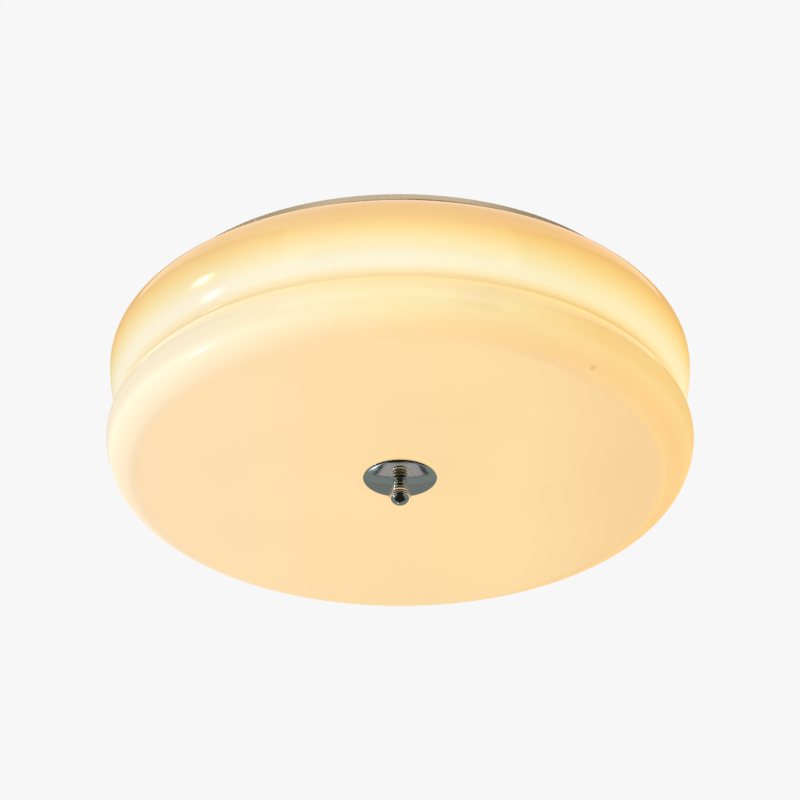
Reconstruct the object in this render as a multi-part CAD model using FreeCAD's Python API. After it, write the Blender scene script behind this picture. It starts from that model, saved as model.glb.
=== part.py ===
"""Flush mount ceiling light: a two-lobed opal glass shade, drawn up to a steel tray on the ceiling
by a central rod, a domed chrome cap and a ball finial. Millimetres, +Z up.
The origin is the middle of the ceiling bracket's upper face, which lies against the ceiling;
everything hangs below it."""
import FreeCAD
import Part
import math
import os

# ---- across the light: the tray's well sets the glass's mouth, and that sets the lobes ----
well_radius = 146.0
mouth_clearance = 5.0
mouth_land = 13.4
rim_overhang = 5.1
lobe_overhang = 1.9

# ---- glass shade (outer sizes; each lobe is elliptical in section) ----
upper_lobe_bulge = 33.7
upper_lobe_rise = 28.8
upper_lobe_fall = 61.7
upper_lobe_drop = 36.8
lower_lobe_bulge = 23.3
lower_lobe_rise = 19.4
lower_lobe_fall = 27.4
lower_lobe_drop = 92.9
glass_wall = 3.5
crease_radius = 4.0
lip_round = 1.2
shade_hole_radius = 6.5

# ---- ceiling tray ----
tray_sheet = 1.0
well_depth = 33.0
tray_bend = 2.5
gasket_thickness = 2.0
gasket_width = 9.0
gasket_inset = 3.5

# ---- ceiling bracket and the bolts that carry the tray ----
bracket_width = 25.0
bracket_sheet = 1.5
bracket_step = 5.0
bracket_step_run = 5.0
bracket_step_inset = 12.0
bracket_end_margin = 10.0
ceiling_slot_spacing = 48.0
ceiling_slot_length = 18.0
ceiling_slot_width = 5.2
bolt_spacing = 100.0
bolt_radius = 2.0
bolt_head_radius = 4.0
bolt_head_height = 2.6
bolt_tail = 3.0
locknut_across_flats = 7.0
locknut_height = 3.2
tray_washer_radius = 6.0
tray_washer_thickness = 1.0
thumb_nut_radius = 6.8
thumb_nut_height = 7.0
thumb_nut_collar_radius = 4.6
thumb_nut_collar_height = 2.2
thread_clearance = 0.1
hole_clearance = 0.3

# ---- central rod ----
rod_radius = 3.0
rod_top_stub = 2.0
rod_nut_across_flats = 10.0
rod_nut_height = 5.0
rod_washer_radius = 9.0
rod_washer_thickness = 1.2
thread_engagement = 12.0
running_clearance = 0.06

# ---- soft pieces round the shade's hole ----
bush_flange_radius = 11.0
bush_flange_thickness = 1.8
bush_clearance = 0.2
cushion_radius = 13.0

# ---- domed cap ----
cap_radius = 25.25
cap_sheet = 1.2
cap_gap = 1.0
cap_edge_height = 1.6
cap_shoulder_radius = 19.0
cap_shoulder_depth = 1.7
cap_depth = 2.6
cap_boss_radius = 8.5
cap_edge_round = 1.4
cap_lip_round = 0.54
cap_bore_round = 0.2
cap_boss_round = 3.0
cap_shoulder_round = 5.0
cap_inside_tighter = 1.0

# ---- finial ----
finial_beads = [(5.0, 3.6), (5.5, 3.0), (6.0, 2.5)]
bead_round = 1.0
bead_groove = 0.45
bead_groove_depth = 0.6
collar_radius = 7.5
collar_height = 2.5
collar_round = 1.2
dome_radius = 6.55
dome_centre_drop = 1.8
finial_bore_spare = 0.6

# ---- light board ----
board_thickness = 1.6
board_bolt_clearance = 12.0
board_ring_width = 73.0
chip_width = 3.0
chip_height = 0.7
chip_margin = 12.0
chip_counts = [20, 26, 32]
board_screw_setbacks = [24.5, 48.8]
board_screw_bearings = [45.0, 0.0]
board_screws_per_circle = 4

# ---- small screws, pan headed ----
screw_radius = 1.45
screw_head_radius = 2.8
screw_head_height = 1.8
screw_tip = 2.4
screw_round = 0.8

# ---- driver ----
driver_length = 104.0
driver_width = 34.0
driver_height = 20.0
driver_plate = 2.0
driver_wall = 1.5
driver_ear = 9.0
driver_centre_y = 83.0
driver_screw_tip = 1.0
driver_cover_round = 2.0
circuit_margin = 3.0
circuit_post_height = 2.5
circuit_post_radius = 2.0
circuit_thickness = 1.6
transformer_size = (20.0, 18.0, 11.0)
capacitor_radius = 4.5
capacitor_height = 12.0

# ---- terminal block, leads and earth ----
terminal_pitch = 10.0
terminal_poles = 3
terminal_end = 2.0
terminal_width = 18.0
terminal_height = 15.0
terminal_centre = (-95.0, -30.0)
terminal_round = 1.0
entry_radius = 1.75
entry_depth = 6.0
entry_height = 7.0
clamp_screw_radius = 1.9
clamp_screw_depth = 3.0
clamp_well_radius = 2.6
clamp_well_depth = 4.5
clamp_screw_slot = 0.7
clamp_offset = 4.6
middle_clamp_shift = 0.8
lead_radius = 1.2
lead_insertion = 4.0
lead_bend = 12.0
lead_spacing_at_driver = 10.0
earth_point = (-66.0, 22.0)
earth_lug_radius = 4.4
earth_lug_thickness = 0.8
earth_barrel_radius = 1.9
earth_barrel_length = 6.0
earth_barrel_overlap = 1.0
earth_lead_run = 24.0
earth_lead_tail = 5.0
earth_lead_bend = 8.0
earth_lead_dip = 6.0
lamp_lead_radius = 1.5
lamp_lead_bend = 8.0
lamp_lead_reach = 24.0
grommet_radius = 5.0
grommet_lip = 1.4
grommet_lip_thickness = 1.2
grommet_setback = 12.5
grommet_bearing = 45.0
plug_length = 8.0
plug_width = 10.0
plug_height = 7.4
plug_gap = 1.2

# ---- radii worked out from the sizes above ----
shade_mouth_radius = well_radius + mouth_clearance
upper_flat_radius = shade_mouth_radius + mouth_land
upper_lobe_radius = upper_flat_radius + upper_lobe_bulge
lower_lobe_radius = upper_lobe_radius + lobe_overhang
tray_rim_radius = upper_flat_radius + rim_overhang
board_inner_radius = bolt_spacing / 2 + board_bolt_clearance
board_outer_radius = board_inner_radius + board_ring_width
chip_ring_pitch = (board_ring_width - 2 * chip_margin) / (len(chip_counts) - 1)
chip_ring_radii = [board_inner_radius + chip_margin + i * chip_ring_pitch for i in range(len(chip_counts))]
board_screw_radii = [board_inner_radius + setback for setback in board_screw_setbacks]
grommet_distance = board_inner_radius - grommet_setback
bracket_flat_half = bolt_spacing / 2 - bracket_step_inset
bracket_end_half = bolt_spacing / 2 + bracket_end_margin

# ---- heights worked out from the sizes above (z of each seat) ----
shade_top = -upper_lobe_drop + upper_lobe_rise
shade_bottom = -lower_lobe_drop - lower_lobe_fall
shade_floor = shade_bottom + glass_wall
flange_low = shade_top + gasket_thickness
flange_high = flange_low + tray_sheet
base_low = -well_depth
base_high = base_low + tray_sheet
bracket_end_low = -bracket_step - bracket_sheet
bush_top = shade_floor + bush_flange_thickness
stop_nut_low = bush_top + rod_washer_thickness
cap_low = shade_bottom - cap_gap - cap_edge_height - cap_depth
finial_top = cap_low
rod_tip = finial_top - thread_engagement
collar_top = finial_top - sum(height for _, height in finial_beads)
dome_centre = collar_top - dome_centre_drop
board_low = base_low - board_thickness
terminal_floor = base_high
entry_z = terminal_floor + entry_height
driver_floor = base_high + driver_plate
lamp_lead_z = base_high + driver_plate + driver_height / 2
plug_centre_z = board_low - plug_height / 2


def point(x, y, z):
    return FreeCAD.Vector(x, y, z)


UP = point(0, 0, 1)
PARTS = {}


def keep(name, *solids):
    """Files the solids under the name of the piece they make."""
    PARTS.setdefault(name, []).extend(solids)


def disc(radius, low, height, x=0.0, y=0.0):
    return Part.makeCylinder(radius, height, point(x, y, low))


def tube(inner, outer, low, height, x=0.0, y=0.0):
    return disc(outer, low, height, x, y).cut(disc(inner, low, height, x, y))


def block(length, width, height, x, y, low):
    """A box centred on x, y with its lowest face at low."""
    return Part.makeBox(length, width, height, point(x - length / 2, y - width / 2, low))


def hexagon(across_flats, low, height, bore, x=0.0, y=0.0):
    """A hexagon nut with its corners broken by a cone on both faces."""
    corner = across_flats / math.sqrt(3)
    corners = [
        point(x + corner * math.cos(math.radians(60 * i)), y + corner * math.sin(math.radians(60 * i)), low)
        for i in range(7)
    ]
    prism = Part.Face(Part.makePolygon(corners)).extrude(point(0, 0, height))
    chamfer = (corner - across_flats / 2) * 0.6
    outline = [
        (0, low, 0),
        (corner - chamfer, low, 0),
        (corner, low + chamfer, 0),
        (corner, low + height - chamfer, 0),
        (corner - chamfer, low + height, 0),
        (0, low + height, 0),
    ]
    rounded = turned(outline)
    rounded.translate(point(x, y, 0))
    return prism.common(rounded).cut(disc(bore, low, height, x, y))


def outline_edges(corners):
    """Edges of a closed outline in the X-Z plane. Each corner is (r, z, rounding radius)."""
    count = len(corners)
    spots = [point(r, 0, z) for r, z, _ in corners]
    entries, exits, edges = [], [], []
    for i, (_, _, radius) in enumerate(corners):
        before = (spots[i - 1] - spots[i]).normalize()
        after = (spots[(i + 1) % count] - spots[i]).normalize()
        half = before.getAngle(after) / 2
        reach = radius / math.tan(half) if radius else 0.0
        entries.append(spots[i] + before * reach)
        exits.append(spots[i] + after * reach)
        if radius:
            middle_way = (before + after).normalize()
            middle = spots[i] + middle_way * (radius / math.sin(half) - radius)
            edges.append(Part.Arc(entries[i], middle, exits[i]).toShape())
    for i in range(count):
        start, end = exits[i], entries[(i + 1) % count]
        if start.distanceToPoint(end) > 1e-6:
            edges.append(Part.LineSegment(start, end).toShape())
    return edges


def turned(corners):
    """A solid of revolution about Z from a rounded outline."""
    wire = Part.Wire(Part.sortEdges(outline_edges(corners))[0])
    return Part.Face(wire).revolve(point(0, 0, 0), UP, 360)


def quarter_ellipse(start, corner, end):
    """An exact quarter of an ellipse from start to end, whose end tangents meet at corner."""
    curve = Part.BSplineCurve()
    weights = [1.0, math.sqrt(0.5), 1.0]
    curve.buildFromPolesMultsKnots([start, corner, end], [3, 3], [0.0, 1.0], False, 2, weights)
    return curve.toShape()


def lobe(radius, bulge, rise, fall, drop, inset=0.0):
    """A solid turned lobe: flat ends of radius (radius - bulge), and an elliptical bulge between them."""
    flat = radius - bulge
    belly = bulge - inset
    high, low = rise - inset - drop, inset - fall - drop
    top, waist, foot = point(flat, 0, high), point(flat + belly, 0, -drop), point(flat, 0, low)
    edges = [
        Part.LineSegment(point(0, 0, high), top).toShape(),
        quarter_ellipse(top, point(flat + belly, 0, high), waist),
        quarter_ellipse(waist, point(flat + belly, 0, low), foot),
        Part.LineSegment(foot, point(0, 0, low)).toShape(),
        Part.LineSegment(point(0, 0, low), point(0, 0, high)).toShape(),
    ]
    return Part.Face(Part.Wire(edges)).revolve(point(0, 0, 0), UP, 360)


def two_lobes(inset, crease):
    """Both lobes joined, with the crease between them rounded."""
    upper = lobe(
        upper_lobe_radius, upper_lobe_bulge, upper_lobe_rise, upper_lobe_fall, upper_lobe_drop, inset
    )
    lower = lobe(
        lower_lobe_radius, lower_lobe_bulge, lower_lobe_rise, lower_lobe_fall, lower_lobe_drop, inset
    )
    body = upper.fuse(lower)
    lobe_tops = (upper_lobe_drop, lower_lobe_drop)
    crease_edges = [
        edge
        for edge in body.Edges
        if -lobe_tops[1] + 1 < edge.BoundBox.ZMin
        and edge.BoundBox.ZMax < -lobe_tops[0] - 1
        and edge.BoundBox.ZLength < 0.01
        and edge.BoundBox.XMax > upper_lobe_radius - upper_lobe_bulge
    ]
    return body.makeFillet(crease, crease_edges)


def glass_shade():
    shell = two_lobes(0.0, crease_radius).cut(two_lobes(glass_wall, crease_radius + glass_wall))
    mouth = disc(shade_mouth_radius, shade_floor + glass_wall, shade_top - shade_floor)
    shell = shell.cut(mouth).cut(disc(shade_hole_radius, shade_bottom, 2 * glass_wall))
    lip_edges = [
        edge
        for edge in shell.Edges
        if edge.BoundBox.ZLength < 0.01
        and edge.BoundBox.ZMin > shade_top - glass_wall - 0.1
        and abs(edge.BoundBox.XMax - shade_mouth_radius) < 0.1
    ]
    keep("glass_shade", shell.makeFillet(lip_round, lip_edges))


def shade_gasket():
    inner = shade_mouth_radius + gasket_inset
    keep("shade_gasket", tube(inner, inner + gasket_width, shade_top, gasket_thickness))


def ceiling_tray():
    bend_out, bend_in = tray_bend, tray_bend - tray_sheet
    inside = well_radius - tray_sheet
    tray = turned(
        [
            (0, base_low, 0),
            (well_radius, base_low, bend_out),
            (well_radius, flange_low, bend_in),
            (tray_rim_radius, flange_low, bend_out),
            (tray_rim_radius, 0, 0),
            (tray_rim_radius - tray_sheet, 0, 0),
            (tray_rim_radius - tray_sheet, flange_high, bend_in),
            (inside, flange_high, bend_out),
            (inside, base_high, bend_in),
            (0, base_high, 0),
        ]
    )
    holes = [disc(rod_radius + hole_clearance, base_low, tray_sheet)]
    for side in (-1, 1):
        holes.append(disc(bolt_radius + hole_clearance, base_low, tray_sheet, side * bolt_spacing / 2))
        holes.append(screw_hole(side * driver_screw_x(), driver_centre_y, base_low, tray_sheet))
    for x, y in board_screw_places():
        holes.append(screw_hole(x, y, base_low, tray_sheet))
    for x, y in (terminal_centre, earth_point):
        holes.append(screw_hole(x, y, base_low, tray_sheet))
    holes.append(disc(grommet_radius, base_low, tray_sheet, *grommet_place()))
    keep("ceiling_tray", tray.cut(holes))


def ceiling_bracket():
    """A joggled strip: its middle lies on the ceiling, its ends stand off to clear the bolt heads."""
    step_out = bracket_flat_half + bracket_step_run
    low = -bracket_step
    right = [
        (bracket_flat_half, 0),
        (step_out, low),
        (bracket_end_half, low),
        (bracket_end_half, low - bracket_sheet),
        (step_out - bracket_sheet / 2, low - bracket_sheet),
        (bracket_flat_half - bracket_sheet / 2, -bracket_sheet),
    ]
    left = [(-x, z) for x, z in reversed(right)]
    corners = [point(x, -bracket_width / 2, z) for x, z in right + left]
    strip = Part.Face(Part.makePolygon(corners + corners[:1])).extrude(point(0, bracket_width, 0))
    cuts = []
    for side in (-1, 1):
        cuts.append(slot(side * ceiling_slot_spacing / 2))
        cuts.append(
            disc(bolt_radius + thread_clearance, bracket_end_low, bracket_sheet, side * bolt_spacing / 2)
        )
    keep("ceiling_bracket", strip.cut(cuts))


def slot(x):
    """The body of one slot through the bracket's middle, along X."""
    radius = ceiling_slot_width / 2
    straight = ceiling_slot_length - ceiling_slot_width
    middle = block(straight, ceiling_slot_width, bracket_sheet, x, 0, -bracket_sheet)
    ends = [disc(radius, -bracket_sheet, bracket_sheet, x + side * straight / 2) for side in (-1, 1)]
    return middle.fuse(ends)


def hanging_bolts():
    """Two bolts hang from the bracket's ends; thumb nuts under the tray draw it to the ceiling."""
    head_low = -bracket_step
    washer_low = base_low - tray_washer_thickness
    nut_low = washer_low - thumb_nut_height
    bore = bolt_radius + thread_clearance
    for side in (-1, 1):
        x = side * bolt_spacing / 2
        shank = disc(bolt_radius, nut_low - bolt_tail, head_low - nut_low + bolt_tail, x)
        head = disc(bolt_head_radius, head_low, bolt_head_height, x)
        head = head.makeFillet(bolt_head_height * 0.4, [top_edge(head)])
        keep("hanging_bolts", shank.fuse(head))
        lock = hexagon(locknut_across_flats, bracket_end_low - locknut_height, locknut_height, bore, x)
        keep("bolt_locknuts", lock)
        washer = tube(bolt_radius + hole_clearance, tray_washer_radius, washer_low, tray_washer_thickness, x)
        keep("tray_washers", washer)
        nut = tube(bore, thumb_nut_radius, nut_low, thumb_nut_height - thumb_nut_collar_height, x)
        collar_low = washer_low - thumb_nut_collar_height
        collar = tube(bore, thumb_nut_collar_radius, collar_low, thumb_nut_collar_height, x)
        keep("thumb_nuts", nut.fuse(collar))


def top_edge(solid):
    """The edge that lies highest on a solid."""
    return max(solid.Edges, key=lambda edge: edge.BoundBox.ZMin)


def bottom_edge(solid):
    """The edge that lies lowest on a solid."""
    return min(solid.Edges, key=lambda edge: edge.BoundBox.ZMax)


def central_rod():
    rod_top = base_high + rod_washer_thickness + rod_nut_height + rod_top_stub
    keep("central_rod", disc(rod_radius, rod_tip, rod_top - rod_tip))
    bore = rod_radius + thread_clearance
    wide = rod_radius + hole_clearance
    washer = rod_washer_thickness
    keep("rod_upper_washer", tube(wide, rod_washer_radius, base_high, washer))
    keep("rod_upper_nut", hexagon(rod_nut_across_flats, base_high + washer, rod_nut_height, bore))
    keep("rod_lower_washer", tube(wide, rod_washer_radius, base_low - washer, washer))
    lower_nut_low = base_low - washer - rod_nut_height
    keep("rod_lower_nut", hexagon(rod_nut_across_flats, lower_nut_low, rod_nut_height, bore))
    keep("shade_stop_washer", tube(wide, rod_washer_radius, bush_top, washer))
    keep("shade_stop_nut", hexagon(rod_nut_across_flats, stop_nut_low, rod_nut_height, bore))


def shade_bush():
    """A flanged silicone bush, dropped into the shade's hole from inside."""
    bore = rod_radius + hole_clearance
    flange = tube(bore, bush_flange_radius, shade_floor, bush_flange_thickness)
    spigot = tube(bore, shade_hole_radius - bush_clearance, shade_bottom, glass_wall)
    keep("shade_bush", flange.fuse(spigot).removeSplitter())


def domed_cap():
    """The spun cap under the shade, and the silicone cushion that fills its middle."""
    edge_high = shade_bottom - cap_gap
    edge_low = edge_high - cap_edge_height
    shoulder_low = edge_low - cap_shoulder_depth
    seat = cap_low + cap_sheet
    bore = rod_radius + hole_clearance
    cap = turned(
        [
            (bore, cap_low, cap_bore_round),
            (cap_boss_radius, cap_low, cap_boss_round),
            (cap_shoulder_radius, shoulder_low, cap_shoulder_round),
            (cap_radius, edge_low, cap_edge_round),
            (cap_radius, edge_high, cap_lip_round),
            (cap_radius - cap_sheet, edge_high, cap_lip_round),
            (cap_radius - cap_sheet, edge_low + cap_sheet / 2, cap_edge_round / 2),
            (cap_shoulder_radius, shoulder_low + cap_sheet, cap_shoulder_round - cap_inside_tighter),
            (cap_boss_radius, seat, cap_boss_round - cap_inside_tighter),
            (bore, seat, 0),
        ]
    )
    keep("domed_cap", cap)
    cushion = tube(bore, cushion_radius, cap_low, shade_bottom - cap_low)
    cap_solid_below = turned(
        [
            (0, cap_low - cap_sheet, 0),
            (cap_radius, cap_low - cap_sheet, 0),
            (cap_radius, edge_low + cap_sheet / 2, 0),
            (cap_shoulder_radius, shoulder_low + cap_sheet, cap_shoulder_round - cap_inside_tighter),
            (cap_boss_radius, seat, cap_boss_round - cap_inside_tighter),
            (0, seat, 0),
        ]
    )
    keep("cap_cushion", cushion.cut(cap_solid_below))


def finial():
    """Three growing beads, a collar and a dome, turned in one piece and threaded on the rod."""
    bore = rod_radius + running_clearance
    corners = [(0, finial_top, 0)]
    high = finial_top
    for radius, height in finial_beads:
        low = high - height + bead_groove
        groove = radius - bead_groove_depth
        corners += [(radius, high, bead_round), (radius, low, bead_round)]
        corners += [(groove, low, 0), (groove, low - bead_groove, 0)]
        high -= height
    collar_low = collar_top - collar_height
    corners += [(collar_radius, collar_top, collar_round), (collar_radius, collar_low, collar_round)]
    corners += [(0, collar_low, 0)]
    dome = Part.makeSphere(dome_radius, point(0, 0, dome_centre))
    hole = disc(bore, rod_tip - finial_bore_spare, finial_top - rod_tip + finial_bore_spare)
    keep("finial", turned(corners).fuse(dome).cut(hole))


def board_screw_places():
    """Where the screws that hold the light board go, on two circles."""
    places = []
    for radius, first in zip(board_screw_radii, board_screw_bearings):
        for i in range(board_screws_per_circle):
            turn = math.radians(first + 360.0 * i / board_screws_per_circle)
            places.append((radius * math.cos(turn), radius * math.sin(turn)))
    return places


def screw_hole(x, y, low, depth):
    return disc(screw_radius + thread_clearance, low, depth, x, y)


def pan_screw(x, y, seat, length, head_up):
    """A pan-headed screw. seat is the z its head bears on; the shank runs away from the head."""
    if head_up:
        head = disc(screw_head_radius, seat, screw_head_height, x, y)
        shank = disc(screw_radius, seat - length, length, x, y)
        rim = top_edge(head)
    else:
        head = disc(screw_head_radius, seat - screw_head_height, screw_head_height, x, y)
        shank = disc(screw_radius, seat, length, x, y)
        rim = bottom_edge(head)
    return head.makeFillet(screw_round, [rim]).fuse(shank)


def light_board():
    """A ring-shaped board of light-emitting chips under the tray, and its screws."""
    board = tube(board_inner_radius, board_outer_radius, board_low, board_thickness)
    holes = [screw_hole(x, y, board_low, board_thickness) for x, y in board_screw_places()]
    reliefs = [(side * driver_screw_x(), driver_centre_y) for side in (-1, 1)]
    reliefs += [terminal_centre, earth_point]
    for x, y in reliefs:
        holes.append(disc(screw_head_radius, board_low, board_thickness, x, y))
    keep("light_board", board.cut(holes))
    for radius, count in zip(chip_ring_radii, chip_counts):
        for i in range(count):
            chip = block(chip_width, chip_width, chip_height, radius, 0, board_low - chip_height)
            chip.rotate(point(0, 0, 0), UP, 360.0 * (i + 0.5) / count)
            keep("light_chips", chip)
    for x, y in board_screw_places():
        length = board_thickness + tray_sheet + screw_tip
        keep("board_screws", pan_screw(x, y, board_low, length, False))


def driver_screw_x():
    return driver_length / 2 + driver_ear / 2


def driver():
    """The driver: an eared base plate, a box cover over it, and the circuit between them."""
    y = driver_centre_y
    plate = block(driver_length + 2 * driver_ear, driver_width * 0.5, driver_plate, 0, y, base_high)
    plate = plate.fuse(block(driver_length, driver_width, driver_plate, 0, y, base_high))
    circuit_length = driver_length - 2 * (driver_wall + circuit_margin)
    circuit_width = driver_width - 2 * (driver_wall + circuit_margin)
    circuit_low = driver_floor + circuit_post_height
    posts = [
        disc(
            circuit_post_radius,
            driver_floor,
            circuit_post_height,
            sx * (circuit_length / 2 - 2 * circuit_post_radius),
            y + sy * (circuit_width / 2 - 2 * circuit_post_radius),
        )
        for sx in (-1, 1)
        for sy in (-1, 1)
    ]
    plate = plate.fuse(posts).removeSplitter()
    ear_holes = [screw_hole(side * driver_screw_x(), y, base_high, driver_plate) for side in (-1, 1)]
    keep("driver_plate", plate.cut(ear_holes))

    outer = block(driver_length, driver_width, driver_height, 0, y, driver_floor)
    upright = [edge for edge in outer.Edges if edge.BoundBox.ZLength > driver_height / 2]
    outer = outer.makeFillet(driver_cover_round, upright)
    inner = block(
        driver_length - 2 * driver_wall,
        driver_width - 2 * driver_wall,
        driver_height - driver_wall,
        0,
        y,
        driver_floor,
    )
    keep("driver_cover", outer.cut(inner))

    circuit = block(circuit_length, circuit_width, circuit_thickness, 0, y, circuit_low)
    components_low = circuit_low + circuit_thickness
    length, width, height = transformer_size
    keep("driver_circuit", circuit)
    keep("driver_components", block(length, width, height, 0, y, components_low))
    for offset in (-0.36, -0.24, 0.26, 0.38):
        can = disc(capacitor_radius, components_low, capacitor_height, offset * circuit_length, y)
        keep("driver_components", can)
    for side in (-1, 1):
        length = driver_plate + tray_sheet + driver_screw_tip
        keep("driver_screws", pan_screw(side * driver_screw_x(), y, driver_floor, length, True))


def terminal_pole_x(pole):
    return terminal_centre[0] + (pole - (terminal_poles - 1) / 2) * terminal_pitch


def terminal_block():
    """A screw terminal: supply wires enter from -Y, the light's own leads from +Y."""
    cx, cy = terminal_centre
    length = terminal_poles * terminal_pitch + 2 * terminal_end
    body = block(length, terminal_width, terminal_height, cx, cy, terminal_floor)
    upright = [edge for edge in body.Edges if edge.BoundBox.ZLength > terminal_height / 2]
    body = body.makeFillet(terminal_round, upright)
    top = terminal_floor + terminal_height
    cuts = [disc(screw_radius + hole_clearance, terminal_floor, terminal_height, cx, cy)]
    cuts.append(disc(screw_head_radius + hole_clearance, top - terminal_height / 2, terminal_height, cx, cy))
    for pole in range(terminal_poles):
        x = terminal_pole_x(pole)
        for side in (-1, 1):
            start = point(x, cy + side * terminal_width / 2, entry_z)
            cuts.append(Part.makeCylinder(entry_radius, entry_depth, start, point(0, -side, 0)))
            well_y = cy + side * clamp_offset
            if pole == terminal_poles // 2:
                well_y += side * middle_clamp_shift
            cuts.append(disc(clamp_well_radius, top - clamp_well_depth, clamp_well_depth, x, well_y))
            keep("clamp_screws", clamp_screw(x, well_y, top - clamp_well_depth))
    keep("terminal_block", body.cut(cuts))
    seat = top - terminal_height / 2
    length = seat - base_low + driver_screw_tip
    keep("terminal_screw", pan_screw(cx, cy, seat, length, True))


def clamp_screw(x, y, seat):
    """A slotted grub screw that stands on its well's floor."""
    screw = disc(clamp_screw_radius, seat, clamp_screw_depth, x, y)
    slot_low = seat + clamp_screw_depth * 0.6
    cut = block(4 * clamp_screw_radius, clamp_screw_slot, clamp_screw_depth, x, y, slot_low)
    return screw.cut(cut)


def run_of_wire(spots, radius, bends):
    """A round lead swept along straight runs joined by tangent arcs; bends gives each corner's radius."""
    edges = []
    start = spots[0]
    for i in range(1, len(spots) - 1):
        before = (spots[i - 1] - spots[i]).normalize()
        after = (spots[i + 1] - spots[i]).normalize()
        half = before.getAngle(after) / 2
        bend = bends[i - 1]
        reach = bend / math.tan(half)
        enter, leave = spots[i] + before * reach, spots[i] + after * reach
        middle = spots[i] + (before + after).normalize() * (bend / math.sin(half) - bend)
        edges.append(Part.LineSegment(start, enter).toShape())
        edges.append(Part.Arc(enter, middle, leave).toShape())
        start = leave
    edges.append(Part.LineSegment(start, spots[-1]).toShape())
    path = Part.Wire(edges)
    section = Part.Wire(Part.Circle(spots[0], spots[1] - spots[0], radius).toShape())
    return path.makePipeShell([section], True, True)


def mains_leads():
    """Live and neutral, from the terminal block to the driver's near end."""
    start_y = terminal_centre[1] + terminal_width / 2 - lead_insertion
    driver_end = -driver_length / 2
    for name, pole, side in (("live_lead", 0, 1), ("neutral_lead", 1, -1)):
        x = terminal_pole_x(pole)
        y = driver_centre_y + side * lead_spacing_at_driver / 2
        spots = [point(x, start_y, entry_z), point(x, y, entry_z), point(driver_end, y, entry_z)]
        keep(name, run_of_wire(spots, lead_radius, [lead_bend + side * lead_spacing_at_driver / 2]))


def earth_connection():
    """The earth lead, its ring lug, and the screw that bonds them to the tray."""
    x = terminal_pole_x(2)
    start_y = terminal_centre[1] + terminal_width / 2 - lead_insertion
    ex, ey = earth_point
    lug_low = base_high
    barrel_z = lug_low + earth_barrel_radius
    turn_y = start_y + earth_lead_run
    bearing = math.atan2(ey - turn_y, ex - x)
    way = point(math.cos(bearing), math.sin(bearing), 0)
    centre = point(ex, ey, barrel_z)
    barrel_far = centre - way * (earth_lug_radius + earth_barrel_length)
    barrel_length = earth_barrel_length + earth_barrel_overlap
    barrel = Part.makeCylinder(earth_barrel_radius, barrel_length, barrel_far, way)
    ring = disc(earth_lug_radius, lug_low, earth_lug_thickness, ex, ey)
    lug = ring.fuse(barrel).cut(screw_hole(ex, ey, lug_low, 4 * earth_barrel_radius))
    keep("earth_lug", lug)
    level = point(x, turn_y, entry_z)
    spots = [point(x, start_y, entry_z), level, barrel_far - way * earth_lead_tail, barrel_far]
    keep("earth_lead", run_of_wire(spots, lead_radius, [earth_lead_bend, earth_lead_dip]))
    length = earth_lug_thickness + tray_sheet + driver_screw_tip
    keep("earth_screw", pan_screw(ex, ey, lug_low + earth_lug_thickness, length, True))


def grommet_place():
    turn = math.radians(grommet_bearing)
    return grommet_distance * math.cos(turn), grommet_distance * math.sin(turn)


def lamp_lead():
    """The low-voltage lead, from the driver through a grommet to the plug on the light board."""
    gx, gy = grommet_place()
    bore = lamp_lead_radius + hole_clearance
    lip = grommet_radius + grommet_lip
    thick = grommet_lip_thickness
    grommet = tube(bore, grommet_radius, base_low, tray_sheet, gx, gy)
    for low in (base_low - thick, base_high):
        grommet = grommet.fuse(tube(bore, lip, low, thick, gx, gy))
    keep("lead_grommet", grommet.removeSplitter())

    out = point(gx, gy, 0).normalize()
    plug_near = board_inner_radius + plug_gap
    out_x = driver_length / 2 + lamp_lead_reach
    entry = out * plug_near
    spots = [
        point(driver_length / 2, driver_centre_y, lamp_lead_z),
        point(out_x, driver_centre_y, lamp_lead_z),
        point(out_x, gy, lamp_lead_z),
        point(gx, gy, lamp_lead_z),
        point(gx, gy, plug_centre_z),
        point(entry.x, entry.y, plug_centre_z),
    ]
    last_bend = base_low - thick - plug_centre_z
    bends = [lamp_lead_bend, lamp_lead_bend, lamp_lead_bend, last_bend]
    keep("lamp_lead", run_of_wire(spots, lamp_lead_radius, bends))

    plug_x = plug_near + plug_length / 2
    plug = block(plug_length, plug_width, plug_height, plug_x, 0, board_low - plug_height)
    plug.rotate(point(0, 0, 0), UP, grommet_bearing)
    keep("board_plug", plug)


def main():
    os.makedirs("parts", exist_ok=True)
    for make in (
        glass_shade,
        shade_gasket,
        ceiling_tray,
        ceiling_bracket,
        hanging_bolts,
        central_rod,
        shade_bush,
        domed_cap,
        finial,
        light_board,
        driver,
        terminal_block,
        mains_leads,
        earth_connection,
        lamp_lead,
    ):
        make()
    for name, solids in PARTS.items():
        shape = solids[0] if len(solids) == 1 else Part.makeCompound(solids)
        shape.exportStep(os.path.join("parts", name + ".step"))
        print(name, len(shape.Solids), round(shape.Volume, 1), shape.isValid())


main()
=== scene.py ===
"""Flush mount ceiling light, dressed for its picture: glowing opal glass, chrome cap and finial,
and the tray, bracket, driver and light board that the glass hides."""

import math

import bmesh
import bpy
from mathutils import Matrix, Vector


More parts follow.
